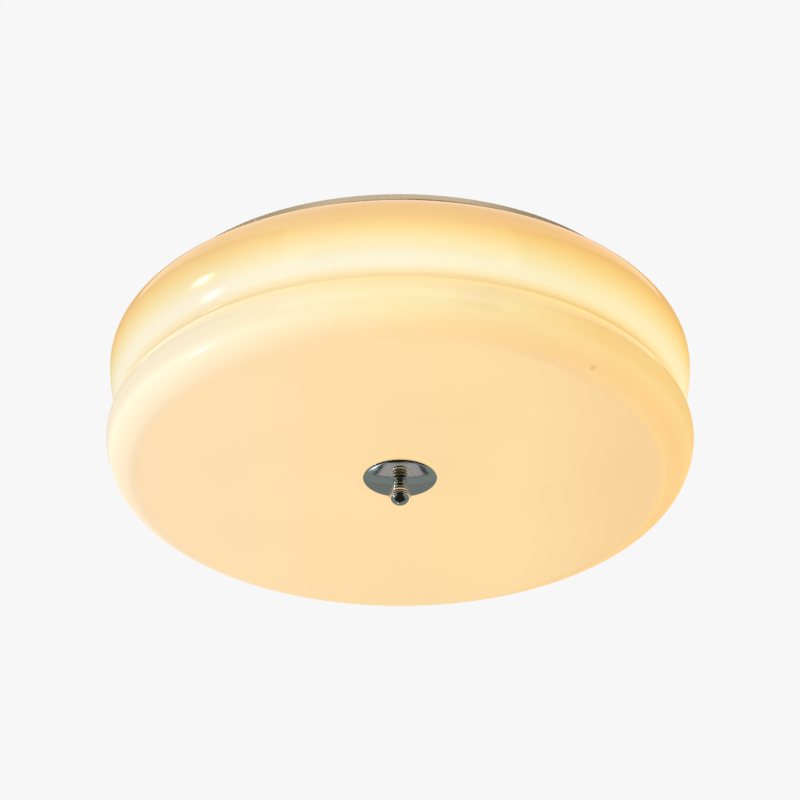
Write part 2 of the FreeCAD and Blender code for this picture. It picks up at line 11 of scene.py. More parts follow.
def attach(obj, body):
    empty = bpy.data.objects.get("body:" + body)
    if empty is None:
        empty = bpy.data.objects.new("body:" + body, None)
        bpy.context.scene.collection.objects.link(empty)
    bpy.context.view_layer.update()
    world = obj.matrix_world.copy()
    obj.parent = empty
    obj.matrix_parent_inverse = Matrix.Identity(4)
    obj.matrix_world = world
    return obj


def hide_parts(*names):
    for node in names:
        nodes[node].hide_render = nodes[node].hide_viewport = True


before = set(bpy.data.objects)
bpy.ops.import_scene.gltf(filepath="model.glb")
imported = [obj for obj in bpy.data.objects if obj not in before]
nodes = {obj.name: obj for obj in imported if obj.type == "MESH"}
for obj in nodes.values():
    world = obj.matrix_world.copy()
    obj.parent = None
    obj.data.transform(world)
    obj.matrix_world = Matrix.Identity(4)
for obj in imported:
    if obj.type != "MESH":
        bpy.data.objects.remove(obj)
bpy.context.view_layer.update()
MM = 0.001

# ---- sizes that the pieces share (millimetres, +Z up, ceiling at z = 0) ----
GLASS_TOP, GLASS_BOTTOM, GLASS_WALL = -8.0, -120.3, 3.5
MOUTH_RADIUS, HOLE_RADIUS = 151.0, 6.5
UPPER = dict(radius=198.1, bulge=33.7, rise=28.8, fall=61.7, drop=36.8)
LOWER = dict(radius=200.0, bulge=23.3, rise=19.4, fall=27.4, drop=92.9)
CREASE_HEIGHT = -77.2
ROD_RADIUS, ROD_TOP, ROD_TIP = 3.0, -23.8, -137.5
BORE_RADIUS = 3.06
CAP_LOW = -125.5
BOARD_LOW = -34.6
BOLT_X = 50.0
DRIVER_X, DRIVER_Y, DRIVER_LOW = 0.0, 83.0, -30.0
TERMINAL_X, TERMINAL_Y, TERMINAL_LOW, TERMINAL_HIGH = -95.0, -30.0, -32.0, -17.0


# =====================================================================================
# Shaders
# =====================================================================================
class Value:
    """A socket of a shader tree. Its arithmetic adds Math nodes."""

    def __init__(self, finish, socket):
        self.finish, self.socket = finish, socket

    def _math(self, operation, *terms):
        return self.finish.node("Math", {"operation": operation}, dict(enumerate(terms)))

    def __add__(self, other):
        return self._math("ADD", self, other)

    __radd__ = __add__

    def __sub__(self, other):
        return self._math("SUBTRACT", self, other)

    def __rsub__(self, other):
        return self._math("SUBTRACT", other, self)

    def __mul__(self, other):
        return self._math("MULTIPLY", self, other)

    __rmul__ = __mul__

    def __pow__(self, other):
        return self._math("POWER", self, other)

    def of(self, operation, *terms):
        return self._math(operation, self, *terms)


class Finish:
    """A material for one of the light's surfaces, around one Principled shader."""

    def __init__(self, name, **uniform):
        self.material = bpy.data.materials.new(name)
        self.material.use_nodes = True
        self.tree = self.material.node_tree
        self.tree.nodes.clear()
        self.skin = self.tree.nodes.new("ShaderNodeBsdfPrincipled")
        output = self.tree.nodes.new("ShaderNodeOutputMaterial")
        self.tree.links.new(self.skin.outputs[0], output.inputs[0])
        for socket, value in uniform.items():
            self.put(self.skin.inputs[socket.replace("_", " ")], value)

    def put(self, socket, value):
        if isinstance(value, Value):
            self.tree.links.new(value.socket, socket)
        elif socket.type == "RGBA" and len(value) == 3:
            socket.default_value = (*value, 1.0)
        else:
            socket.default_value = value

    def node(self, kind, settings, sockets, output=0):
        """Adds one node: its settings first, then the values or links of its sockets."""
        made = self.tree.nodes.new("ShaderNode" + kind)
        for name, value in settings.items():
            if name == "stops":
                self._stops(made.color_ramp, value)
            else:
                setattr(made, name, value)
        for key, value in sockets.items():
            self.put(made.inputs[key], value)
        return Value(self, made.outputs[output])

    @staticmethod
    def _stops(ramp, stops):
        while len(ramp.elements) < len(stops):
            ramp.elements.new(1.0)
        for element, (place, colour) in zip(ramp.elements, stops):
            element.position = place
            element.color = (*colour, 1.0)

    def where(self):
        """The point on the surface, in metres, in the light's own frame."""
        return self.node("TexCoord", {}, {}, "Object")

    def along(self, axis, spot=None):
        return self.node("SeparateXYZ", {}, {0: spot or self.where()}, axis)

    def spread(self, value, low, high, to_low=0.0, to_high=1.0):
        """value mapped from low..high to to_low..to_high, and held there."""
        sockets = {"Value": value, "From Min": low, "From Max": high, "To Min": to_low, "To Max": to_high}
        return self.node("MapRange", {"clamp": True}, sockets)

    def grain(self, scale, detail=3.0, stretch=(1, 1, 1)):
        spot = self.node("Mapping", {"vector_type": "POINT"}, {"Vector": self.where(), "Scale": stretch})
        return self.node("TexNoise", {}, {"Vector": spot, "Scale": scale, "Detail": detail})

    def reach(self, spot):
        """Distance from the spot, in metres."""
        return self.node("VectorMath", {"operation": "DISTANCE"}, {0: self.where(), 1: spot}, 1)

    def blend(self, amount, first, second, how="MIX"):
        sockets = {0: amount, 6: first, 7: second}
        return self.node("Mix", {"data_type": "RGBA", "blend_type": how}, sockets, 2)

    def ramp(self, value, stops):
        return self.node("ValToRGB", {"stops": stops}, {0: value})

    def bump(self, height, distance, strength=1.0):
        return self.node("Bump", {}, {"Height": height, "Distance": distance, "Strength": strength})

    def wear(self, **sockets):
        """Links what varies over the surface to the shader."""
        for name, value in sockets.items():
            self.put(self.skin.inputs[name.replace("_", " ")], value)
        return self.material


def srgb(r, g, b):
    """A colour as it looks on screen, 0 to 255, as the light it stands for."""
    return tuple((c / 255 / 12.92) if c <= 10 else ((c / 255 + 0.055) / 1.055) ** 2.4 for c in (r, g, b))


# Light that the glass sends out, painted into its emission over its height from the floor (0) to the shoulder's top
# (1), with painted shade at the crease and the shoulder.
GLOW = [
    (0.0, (0.805, 0.575, 0.295)),  # floor
    (0.03, (0.795, 0.57, 0.28)),  # the floor's edge
    (0.13, (0.76, 0.635, 0.34)),  # lower lobe, where it turns upright
    (0.23, (0.71, 0.61, 0.34)),  # lower lobe, widest
    (0.32, (0.62, 0.475, 0.215)),  # lower lobe, drawing in
    (0.365, (0.57, 0.37, 0.14)),  # shade below the crease
    (0.39, (0.62, 0.44, 0.19)),  # crease
    (0.42, (0.755, 0.64, 0.37)),  # foot of the upper lobe
    (0.46, (0.76, 0.74, 0.575)),  # palest band, from here
    (0.51, (0.75, 0.73, 0.58)),  # to here
    (0.58, (0.74, 0.66, 0.39)),  # upper lobe, turning upright
    (0.7, (0.715, 0.49, 0.15)),  # upper lobe, below its widest
    (0.76, (0.64, 0.37, 0.1)),  # upper lobe, widest
    # The shoulder's top is dimmest: little glow reaches it, and painted shade under the tray.
    (1.0, (0.31, 0.11, 0.0)),  # shoulder's top
]

# Painted light from the left over that glow, whiter on the left side (0) and warmer on the right (1):
# on the upper lobe, on the lower lobe, and on the lower lobe's turn into the floor.
UPPER_SIDE_LIGHT = [(0.0, (0.85, 0.86, 0.92)), (0.5, (1.0, 1.0, 1.0)), (1.0, (1.03, 0.94, 0.7))]
LOWER_SIDE_LIGHT = [
    (0.0, (0.87, 0.94, 1.36)),
    (0.3, (1.0, 1.03, 1.2)),
    (0.5, (1.0, 1.0, 1.0)),
    (0.61, (1.0, 0.99, 0.97)),
    (0.71, (0.94, 0.87, 0.80)),
    (0.82, (1.03, 0.93, 0.72)),
    (1.0, (1.0, 0.75, 0.42)),
]
EDGE_SIDE_LIGHT = [(0.0, (0.97, 1.13, 1.73)), (0.5, (1.0, 1.0, 1.0)), (1.0, (1.02, 0.85, 0.6))]

# One seed in the glass: its place in metres, where it starts and is fully dark, and how dark it is.
SEED_PLACE, SEED_EDGE, SEED_CORE, SEED_SHADE = (0.1289, -0.1377, -0.1165), 0.0031, 0.0012, 0.2


def opal_glass():
    """Opal glass lit from inside, its glow painted into the emission: palest round the lobes, warmer at the floor,
    and warmer and in painted shade at the crease and shoulder.
    """
    glass = Finish("opal_glass", IOR=1.45, Emission_Strength=1.0)
    x, z = glass.along("X"), glass.along("Z")
    facing = glass.along("X", glass.node("TexCoord", {}, {}, "Normal"))
    height = glass.spread(z, GLASS_BOTTOM * MM, GLASS_TOP * MM)
    # Which way the glass faces, left to right: the mask for the painted light from the left.
    side = glass.spread(facing + x * 2.5, -1.0, 1.0)
    lower = glass.spread(z, -0.072, -0.080)
    edge = glass.spread(z, -0.100, -0.106) * glass.spread(z, -0.1202, -0.118)
    side_light = glass.blend(lower, glass.ramp(side, UPPER_SIDE_LIGHT), glass.ramp(side, LOWER_SIDE_LIGHT))
    side_light = glass.blend(edge, side_light, glass.ramp(side, EDGE_SIDE_LIGHT))
    glow = glass.blend(1.0, glass.ramp(height, GLOW), side_light, "MULTIPLY")
    ripple = glass.grain(9.0, 2.0)
    clouding = glass.spread(ripple, 0.3, 0.7, 0.99, 1.01)
    seed = glass.spread(glass.reach(SEED_PLACE), SEED_EDGE, SEED_CORE)
    dimming = clouding * (1.0 - seed * SEED_SHADE)
    glow = glass.node("VectorMath", {"operation": "SCALE"}, {0: glow, "Scale": dimming})
    base = glass.blend(glass.spread(ripple, 0.3, 0.7), (0.325, 0.255, 0.145), (0.345, 0.27, 0.16))
    rough = glass.spread(glass.grain(60.0, 4.0), 0.3, 0.7, 0.07, 0.11)
    soft = glass.bump(ripple, 0.0006, 0.15)
    return glass.wear(Base_Color=base, Emission_Color=glow, Roughness=rough, Normal=soft)


def chrome():
    """Mirror plating over turned metal, with faint hairlines and handling marks."""
    plate = Finish("chrome", Metallic=1.0)
    marks = plate.grain(220.0, 5.0)
    hair = plate.grain(900.0, 2.0, (1, 1, 6))
    base = plate.blend(plate.spread(marks, 0.35, 0.7), (0.82, 0.82, 0.80), (0.90, 0.90, 0.88))
    rough = plate.spread(marks, 0.35, 0.75, 0.05, 0.11)
    return plate.wear(Base_Color=base, Roughness=rough, Normal=plate.bump(hair, 0.00002, 0.4))


def painted(name, low, high, metallic=0.0, roughness=(0.32, 0.45), scale=700.0):
    """Powder coat: fine orange peel, and a faint change of tone."""
    coat = Finish(name, Metallic=metallic)
    peel = coat.grain(scale, 3.0)
    tone = coat.spread(coat.grain(14.0, 2.0), 0.3, 0.7)
    rough = coat.spread(peel, 0.3, 0.7, *roughness)
    return coat.wear(Base_Color=coat.blend(tone, low, high), Roughness=rough, Normal=coat.bump(peel, 0.00012, 0.5))


def zinc():
    """Bright zinc on pressed or turned steel: crystalline mottle and fine scratches."""
    metal = Finish("zinc", Metallic=1.0)
    cells = metal.node("TexVoronoi", {}, {"Vector": metal.where(), "Scale": 380.0}, "Color")
    mottle = metal.along("X", cells)
    scratch = metal.grain(1500.0, 2.0, (8, 1, 1))
    base = metal.ramp(mottle, [(0.0, (0.50, 0.51, 0.52)), (1.0, (0.66, 0.67, 0.67))])
    rough = metal.spread(scratch, 0.3, 0.7, 0.22, 0.4)
    return metal.wear(Base_Color=base, Roughness=rough, Normal=metal.bump(scratch, 0.00002, 0.5))


def nickel_brass():
    """Turned brass with a thin, bright plating, dulled in patches, and fine turning lines."""
    metal = Finish("nickel_brass", Metallic=1.0)
    dull = metal.grain(160.0, 4.0)
    base = metal.blend(metal.spread(dull, 0.35, 0.65), (0.62, 0.50, 0.27), (0.74, 0.62, 0.36))
    rough = metal.spread(dull, 0.3, 0.7, 0.16, 0.34)
    turning = metal.along("Z").of("MULTIPLY", 9000.0).of("SINE")
    return metal.wear(Base_Color=base, Roughness=rough, Normal=metal.bump(turning, 0.00002, 0.4))


def moulded(name, low, high, roughness=(0.4, 0.55), grain=1400.0, **uniform):
    """Moulded plastic, nylon or rubber: a fine spark-eroded grain and a slow change of tone."""
    plastic = Finish(name, **uniform)
    fine = plastic.grain(grain, 2.0)
    tone = plastic.spread(plastic.grain(35.0, 2.0), 0.3, 0.7)
    rough = plastic.spread(fine, 0.3, 0.7, *roughness)
    relief = plastic.bump(fine, 0.00006, 0.5)
    return plastic.wear(Base_Color=plastic.blend(tone, low, high), Roughness=rough, Normal=relief)


def foam_seal():
    """Closed-cell foam: pale, with open cells on its cut edge, painted darker in their pits as shade."""
    foam = Finish("foam_seal")
    cells = foam.node("TexVoronoi", {}, {"Vector": foam.where(), "Scale": 900.0}, "Distance")
    # Painted shade: each cell is darker toward its middle, where the bump sinks into a pit.
    base = foam.ramp(cells, [(0.0, (0.55, 0.54, 0.51)), (0.45, (0.80, 0.79, 0.76))])
    rough = foam.spread(cells, 0, 1, 0.95, 0.8)
    return foam.wear(Base_Color=base, Roughness=rough, Normal=foam.bump(cells, 0.0003, 0.8))


def board_mask():
    """White solder mask over aluminium, with the copper tracks showing through as low ridges."""
    mask = Finish("board_mask")
    track_pitch = 0.008
    x, y = mask.along("X"), mask.along("Y")
    radius = (x * x + y * y) ** 0.5
    rings = (radius * (2 * math.pi / track_pitch)).of("COSINE")
    track = mask.spread(rings, -0.2, 0.1)
    base = mask.blend(track, (0.74, 0.75, 0.70), (0.86, 0.86, 0.83))
    rough = mask.spread(mask.grain(500.0), 0.3, 0.7, 0.25, 0.4)
    return mask.wear(Base_Color=base, Roughness=rough, Normal=mask.bump(track, 0.00008, 0.8))


def phosphor():
    """The chips' yellow gel, grainy and lit."""
    gel = Finish("phosphor", Emission_Strength=1.0)
    grit = gel.spread(gel.grain(4000.0, 2.0), 0.35, 0.65)
    base = gel.blend(grit, (0.80, 0.56, 0.10), (0.92, 0.72, 0.22))
    glow = gel.blend(grit, (0.75, 0.52, 0.20), (0.90, 0.68, 0.32))
    return gel.wear(Base_Color=base, Emission_Color=glow, Roughness=gel.spread(grit, 0, 1, 0.3, 0.45))


def circuit_mask():
    """Green solder mask with tracks."""
    mask = Finish("circuit_mask")
    spot = {"Vector": mask.where(), "Scale": 260.0}
    bricks = mask.node("TexVoronoi", {"distance": "CHEBYCHEV"}, spot, "Distance")
    track = mask.spread(bricks, 0.35, 0.42)
    base = mask.blend(track, (0.02, 0.14, 0.06), (0.05, 0.26, 0.12))
    rough = mask.spread(track, 0, 1, 0.25, 0.35)
    return mask.wear(Base_Color=base, Roughness=rough, Normal=mask.bump(track, 0.00005))


def earth_sleeve():
    """Soft sleeving, green with yellow bands along it."""
    sleeve = Finish("earth_sleeve")
    turn = (sleeve.along("X") * 1800.0 + sleeve.along("Z") * 1400.0).of("SINE")
    band = sleeve.spread(turn, -0.15, 0.15)
    base = sleeve.blend(band, (0.05, 0.24, 0.05), (0.72, 0.62, 0.04))
    fine = sleeve.grain(1500.0)
    rough = sleeve.spread(fine, 0.3, 0.7, 0.35, 0.5)
    return sleeve.wear(Base_Color=base, Roughness=rough, Normal=sleeve.bump(fine, 0.00004))


GLASS = opal_glass()
CHROME = chrome()
TRAY = painted("tray_coat", (0.64, 0.525, 0.35), (0.70, 0.58, 0.395), 0.7, (0.32, 0.44))
ZINC = zinc()
BRASS = nickel_brass()
FOAM = foam_seal()
BOARD = board_mask()
GEL = phosphor()
CIRCUIT = circuit_mask()
SILICONE = moulded("silicone", (0.66, 0.66, 0.63), (0.74, 0.73, 0.70), (0.35, 0.5))
CASE = moulded("driver_case", (0.76, 0.76, 0.74), (0.82, 0.82, 0.79))
NYLON = moulded("terminal_nylon", (0.70, 0.68, 0.60), (0.78, 0.76, 0.69), (0.3, 0.42))
PACKAGE = moulded("chip_package", (0.82, 0.82, 0.80), (0.88, 0.88, 0.86), (0.45, 0.6))
BLACK = moulded("component_black", (0.02, 0.02, 0.022), (0.045, 0.045, 0.05), (0.3, 0.45))
RUBBER = moulded("grommet_rubber", (0.025, 0.025, 0.025), (0.05, 0.05, 0.05), (0.6, 0.75))
BROWN = moulded("live_sleeve", (0.13, 0.055, 0.025), (0.18, 0.08, 0.04), (0.32, 0.45))
BLUE = moulded("neutral_sleeve", (0.03, 0.10, 0.36), (0.05, 0.14, 0.44), (0.32, 0.45))
WHITE_SLEEVE = moulded("lamp_sleeve", (0.72, 0.72, 0.70), (0.79, 0.79, 0.77), (0.35, 0.5))
EARTH = earth_sleeve()


# =====================================================================================
# Shapes
# =====================================================================================
def rounded(corners, steps=7):
    """A closed outline of (r, z) points from (r, z, rounding) corners."""
    points = []
    for i, (r, z, radius) in enumerate(corners):
        here = Vector((r, z))
        if not radius:
            points.append(here)
            continue
        before = (Vector(corners[i - 1][:2]) - here).normalized()
        after = (Vector(corners[(i + 1) % len(corners)][:2]) - here).normalized()
        half = before.angle(after) / 2
        centre = here + (before + after).normalized() * (radius / math.sin(half))
        start, end = here + before * (radius / math.tan(half)), here + after * (radius / math.tan(half))
        a, b = start - centre, end - centre
        sweep = a.angle(b)
        for k in range(steps + 1):
            t = k / steps
            mixed = (a * math.sin((1 - t) * sweep) + b * math.sin(t * sweep)) / math.sin(sweep)
            points.append(centre + mixed)
    return points


def mesh_object(name, points, faces, edges=()):
    mesh = bpy.data.meshes.new(name)
    mesh.from_pydata(points, edges, faces)
    made = bpy.data.objects.new(name, mesh)
    bpy.context.scene.collection.objects.link(made)
    return made


def new_tree(name, **inputs):
    """An empty Geometry Nodes tree with a geometry input and output, and named inputs."""
    tree = bpy.data.node_groups.new(name, "GeometryNodeTree")
    tree.interface.new_socket("Geometry", in_out="INPUT", socket_type="NodeSocketGeometry")
    for label, kind in inputs.items():
        tree.interface.new_socket(label.replace("_", " "), in_out="INPUT", socket_type="NodeSocket" + kind)
    tree.interface.new_socket("Geometry", in_out="OUTPUT", socket_type="NodeSocketGeometry")
    return tree


def add(tree, kind, settings=None, **links):
    """Adds a geometry node; links name its inputs (a trailing number picks one by place)."""
    made = tree.nodes.new(kind)
    for name, value in (settings or {}).items():
        setattr(made, name, value)
    for key, value in links.items():
        socket = made.inputs[int(key[1:])] if key[0] == "_" else made.inputs[key.replace("_", " ")]
        if isinstance(value, bpy.types.NodeSocket):
            tree.links.new(value, socket)
        else:
            socket.default_value = value
    return made


def baked(made, tree, finish, **values):
    """Runs a Geometry Nodes tree on the object and keeps the result as its plain mesh."""
    modifier = made.modifiers.new("make", "NODES")
    modifier.node_group = tree
    for item in tree.interface.items_tree:
        key = item.name.replace(" ", "_")
        if item.in_out == "INPUT" and key in values:
            modifier[item.identifier] = values[key]
        if item.in_out == "INPUT" and item.name == "Finish":
            modifier[item.identifier] = finish
    bpy.context.view_layer.update()
    evaluated = made.evaluated_get(bpy.context.evaluated_depsgraph_get())
    mesh = bpy.data.meshes.new_from_object(evaluated)
    made.modifiers.clear()
    made.data = mesh
    mesh.name = made.name
    if finish.name not in [m.name for m in mesh.materials if m]:
        mesh.materials.clear()
        mesh.materials.append(finish)
    return made


def turning_tree():
    """Turns a closed outline about Z: the outline is swept round a ring, then welded."""
    tree = new_tree("turning", Ring_Radius="Float", Sides="Int", Finish="Material")
    group_in, group_out = add(tree, "NodeGroupInput"), tree.nodes.new("NodeGroupOutput")
    ring = add(tree, "GeometryNodeCurvePrimitiveCircle",
               Resolution=group_in.outputs["Sides"], Radius=group_in.outputs["Ring Radius"])
    outline = add(tree, "GeometryNodeMeshToCurve", Mesh=group_in.outputs["Geometry"])
    swept = add(tree, "GeometryNodeCurveToMesh", Curve=ring.outputs[0], Profile_Curve=outline.outputs[0])
    welded = add(tree, "GeometryNodeMergeByDistance", Geometry=swept.outputs[0], Distance=1e-6)
    smooth = add(tree, "GeometryNodeSetShadeSmooth", _0=welded.outputs[0])
    dressed = add(tree, "GeometryNodeSetMaterial",
                  Geometry=smooth.outputs[0], Material=group_in.outputs["Finish"])
    tree.links.new(dressed.outputs[0], group_out.inputs[0])
    return tree


TURNING = turning_tree()


def turned(name, outline, finish, sides=192, x=0.0, y=0.0):
    """A piece turned about a vertical axis through (x, y)."""
    ring = 40.0
    points = [((p[0] - ring) * MM, -p[1] * MM, 0) for p in outline]
    edges = [(i, (i + 1) % len(points)) for i in range(len(points))]
    made = mesh_object(name, points, [], edges)
    baked(made, TURNING, finish, Ring_Radius=ring * MM, Sides=sides)
    settle(made)
    made.data.transform(Matrix.Translation((x * MM, y * MM, 0)))
    return made


def settle(made, sharp=32.0):
    """Welds doubles, points every face outward, and marks the hard edges."""
    shape = bmesh.new()
    shape.from_mesh(made.data)
    bmesh.ops.remove_doubles(shape, verts=shape.verts, dist=2e-6)
    bmesh.ops.dissolve_degenerate(shape, edges=shape.edges, dist=1e-7)
    bmesh.ops.recalc_face_normals(shape, faces=shape.faces)
    for face in shape.faces:
        face.smooth = True
    for edge in shape.edges:
        edge.smooth = len(edge.link_faces) != 2 or edge.calc_face_angle(0.0) < math.radians(sharp)
    shape.to_mesh(made.data)
    shape.free()
    return made


def lobe_curve(lobe, inset, upper_half, steps=48):
    """Half of a lobe's elliptical section, from its flat end to its waist, as (r, z) points."""
    flat = lobe["radius"] - lobe["bulge"]
    reach = lobe["bulge"] - inset
    tall = (lobe["rise"] if upper_half else lobe["fall"]) - inset
    side = 1 if upper_half else -1
    turns = [math.pi / 2 * k / steps for k in range(steps + 1)]
    return [Vector((flat + reach * math.sin(t), -lobe["drop"] + side * tall * math.cos(t))) for t in turns]


def crease(lower_run, upper_run, radius):
    """Joins the lower lobe's rise to the upper lobe's fall with an arc of the given radius."""
    def pushed(run):
        out = []
        for i, spot in enumerate(run):
            way = (run[min(i + 1, len(run) - 1)] - run[max(i - 1, 0)]).normalized()
            out.append(spot + Vector((way.y, -way.x)) * radius)
        return out
    low_off, high_off = pushed(lower_run), pushed(upper_run)
    pairs = ((a - b).length for a in low_off for b in high_off)
    best = min(range(len(low_off) * len(high_off)), key=list(pairs).__getitem__)
    i, j = divmod(best, len(high_off))
    centre = (low_off[i] + high_off[j]) / 2
    a, b = lower_run[i] - centre, upper_run[j] - centre
    sweep = a.angle(b)
    arc = [
        centre + (a * math.sin((1 - t) * sweep) + b * math.sin(t * sweep)) / math.sin(sweep)
        for t in (k / 12 for k in range(1, 12))
    ]
    return lower_run[: i + 1] + arc + upper_run[j:]


def lobes_outline(inset, crease_radius):
    """The glass's side from the floor's edge up to the shoulder's edge, with most points near the crease."""
    floor_up = list(lobe_curve(LOWER, inset, False))
    waist_to_crease = lobe_curve(LOWER, inset, True, 400)[::-1]
    crease_to_waist = lobe_curve(UPPER, inset, False, 400)
    middle = crease(waist_to_crease, crease_to_waist, crease_radius)
    shoulder = lobe_curve(UPPER, inset, True)[::-1]
    fine_reach = 5
    near = [p for p in middle if abs(p.y - CREASE_HEIGHT) < fine_reach]
    coarse = [p for p in middle[::9] + [middle[-1]] if abs(p.y - CREASE_HEIGHT) >= fine_reach]
    cut = next(i for i, p in enumerate(coarse) if p.y > CREASE_HEIGHT)
    return floor_up + coarse[:cut] + near[::2] + coarse[cut:] + shoulder


def glass_shade():
    outside = lobes_outline(0.0, 4.0)
    inside = lobes_outline(GLASS_WALL, 4.0 + GLASS_WALL)
    lip = rounded([
        (164.0, GLASS_TOP, 0), (MOUTH_RADIUS, GLASS_TOP, 1.4),
        (MOUTH_RADIUS, GLASS_TOP - GLASS_WALL, 1.4), (164.0, GLASS_TOP - GLASS_WALL, 0),
    ])
    floor = rounded([
        (40.0, GLASS_BOTTOM + GLASS_WALL, 0), (HOLE_RADIUS, GLASS_BOTTOM + GLASS_WALL, 0.6),
        (HOLE_RADIUS, GLASS_BOTTOM, 0.6), (40.0, GLASS_BOTTOM, 0),
    ])
    radial = [Vector((r, GLASS_BOTTOM)) for r in (75, 110, 140, 160)]
    inner_radial = [Vector((r, GLASS_BOTTOM + GLASS_WALL)) for r in (160, 140, 110, 75)]
    outline = floor + radial + outside + lip + inside[::-1] + inner_radial
    piece = turned("glass_body", outline, GLASS, 256)
    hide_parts("glass_shade")
    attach(piece, "shade")


def domed_cap():
    """The spun cap: a shallow dome, a soft shoulder and a rolled rim."""
    edge_high, edge_low = GLASS_BOTTOM - 1.0, GLASS_BOTTOM - 2.6
    hole, shoulder, edge, steps = 3.3, 24.2, 25.25, 24
    dome = []
    for k in range(steps + 1):
        r = hole + (shoulder - hole) * k / steps
        t = (r - hole) / (edge - hole)
        dome.append(Vector((r, CAP_LOW + (edge_low - CAP_LOW) * t**1.7)))
    rim = rounded([
        (24.6, edge_low - 0.05, 0), (edge, edge_low + 0.5, 0.45), (edge, edge_high, 0.35),
        (24.3, edge_high, 0.35), (24.0, edge_high - 0.4, 0)], 5)
    under = [Vector((min(p.x, 23.9), p.y + 1.15)) for p in dome[::-1]]
    outline = dome + rim + under
    piece = turned("cap_dome", outline, CHROME, 192)
    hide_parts("domed_cap")
    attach(piece, "cap")


def finial():
    """Three beads, a collar and a dome, as one turned outline, hollow where the rod goes."""
    corners = [(BORE_RADIUS, CAP_LOW, 0)]
    high = CAP_LOW
    for radius, tall in ((5.5, 3.6), (5.9, 3.0), (6.2, 2.5)):
        low, neck = high - tall + 0.2, radius - 0.55
        corners += [(radius, high - 0.02, 0.6), (radius, low, 0.45), (neck, low - 0.05, 0), (neck, high - tall, 0)]
        high -= tall
    collar, collar_tall, groove, groove_low = 7.5, 2.4, 6.3, high - 2.65
    collar_low = high - collar_tall
    corners += [(collar, high, 1.75), (collar, collar_low, 0.6), (groove, collar_low, 0), (groove, groove_low, 0)]
    outline = rounded(corners, 8)
    dome_radius, dome_low, steps = 7.15, high - 8.35, 28
    centre = dome_low + dome_radius
    start = math.acos((centre - groove_low) / dome_radius)
    dome = [
        Vector((dome_radius * math.sin(t), centre - dome_radius * math.cos(t)))
        for t in (start * (1 - k / steps) for k in range(steps + 1))
    ]
    bore = [Vector((0, ROD_TIP - 0.6)), Vector((BORE_RADIUS, ROD_TIP - 0.6))]
    piece = turned("finial_turned", outline + dome + bore, CHROME, 96)
    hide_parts("finial")
    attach(piece, "finial")


def threaded(name, radius, low, high, pitch, finish, x=0.0, sides=28):
    """A rod with a real screw thread, closed at both ends by a chamfer."""
    depth = pitch * 0.5
    rows = int((high - low) / pitch * 6)
    points, faces = [], []
    for i in range(rows + 1):
        z = low + (high - low) * i / rows
        ease = min(1.0, (z - low) / pitch + 0.15, (high - z) / pitch + 0.15)
        for k in range(sides):
            turn = 2 * math.pi * k / sides
            phase = ((z / pitch) - k / sides) % 1.0
            groove = min(1.0, max(0.0, abs(phase - 0.5) * 2 * 1.3 - 0.15))
            r = radius - depth * (groove if ease >= 1.0 else 1.3 - 0.3 * ease)
            points.append(((x + r * math.cos(turn)) * MM, r * math.sin(turn) * MM, z * MM))
    for i in range(rows):
        for k in range(sides):
            a, b = i * sides + k, i * sides + (k + 1) % sides
            faces.append((a, b, b + sides, a + sides))
    for ring, z in ((0, low), (rows, high)):
        points.append((x * MM, 0, z * MM))
        hub = len(points) - 1
        for k in range(sides):
            faces.append((ring * sides + k, ring * sides + (k + 1) % sides, hub))
    made = mesh_object(name, points, faces)
    made.data.materials.append(finish)
    settle(made, 50)
    return made


def central_rod():
    piece = threaded("rod_thread", ROD_RADIUS, ROD_TIP, ROD_TOP, 1.0, ZINC)
    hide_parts("central_rod")
    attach(piece, "fixture")


def joined(name, *objects):
    """One object from several, all in the light's frame."""
    shape = bmesh.new()
    finishes = []
    for source in objects:
        first = len(finishes)
        count = len(shape.faces)
        shape.from_mesh(source.data)
        shape.faces.ensure_lookup_table()
        for face in shape.faces[count:]:
            face.material_index += first
        finishes += list(source.data.materials)
        bpy.data.objects.remove(source)
    made = mesh_object(name, [], [])
    for finish in finishes:
        made.data.materials.append(finish)
    shape.to_mesh(made.data)
    shape.free()
    return made


def hanging_bolts():
    made = []
    for side in (-1, 1):
        shank = threaded("shank", 2.0, -44.0, -5.4, 0.7, ZINC, side * BOLT_X, 20)
        head = turned("head", rounded([
            (0, -5.2, 0), (2.2, -5.2, 0), (4.0, -5.0, 0.3), (4.0, -3.9, 0.9), (2.6, -2.45, 0.8), (0, -2.4, 0)]),
            ZINC, 40, side * BOLT_X)
        made += [shank, head]
    piece = joined("bolt_threads", *made)
    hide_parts("hanging_bolts")
    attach(piece, "fixture")


def repeat_tree():
    """Puts a copy of one shape on each point of a mesh, turned about Z by the point's own angle."""
    tree = new_tree("repeat", Shape="Object", Finish="Material")
    group_in, group_out = add(tree, "NodeGroupInput"), tree.nodes.new("NodeGroupOutput")
    shape = add(tree, "GeometryNodeObjectInfo", Object=group_in.outputs["Shape"])
    angle = add(tree, "GeometryNodeInputNamedAttribute", {"data_type": "FLOAT"}, Name="angle")
    way = add(tree, "ShaderNodeCombineXYZ", Z=angle.outputs[0])
    copies = add(tree, "GeometryNodeInstanceOnPoints", Points=group_in.outputs["Geometry"],
                 Instance=shape.outputs["Geometry"], Rotation=way.outputs[0])
    real = add(tree, "GeometryNodeRealizeInstances", Geometry=copies.outputs[0])
    dressed = add(tree, "GeometryNodeSetMaterial",
                  Geometry=real.outputs[0], Material=group_in.outputs["Finish"])
    tree.links.new(dressed.outputs[0], group_out.inputs[0])
    return tree


REPEAT = repeat_tree()


def repeated(name, shape, places, finish):
    """Copies of shape at each (x, y, z, angle); the shape itself is then removed."""
    made = mesh_object(name, [(x * MM, y * MM, z * MM) for x, y, z, _ in places], [])
    angles = made.data.attributes.new("angle", "FLOAT", "POINT")
    for item, place in zip(angles.data, places):
        item.value = place[3]
    baked(made, REPEAT, finish, Shape=shape)
    bpy.data.objects.remove(shape)
    return made


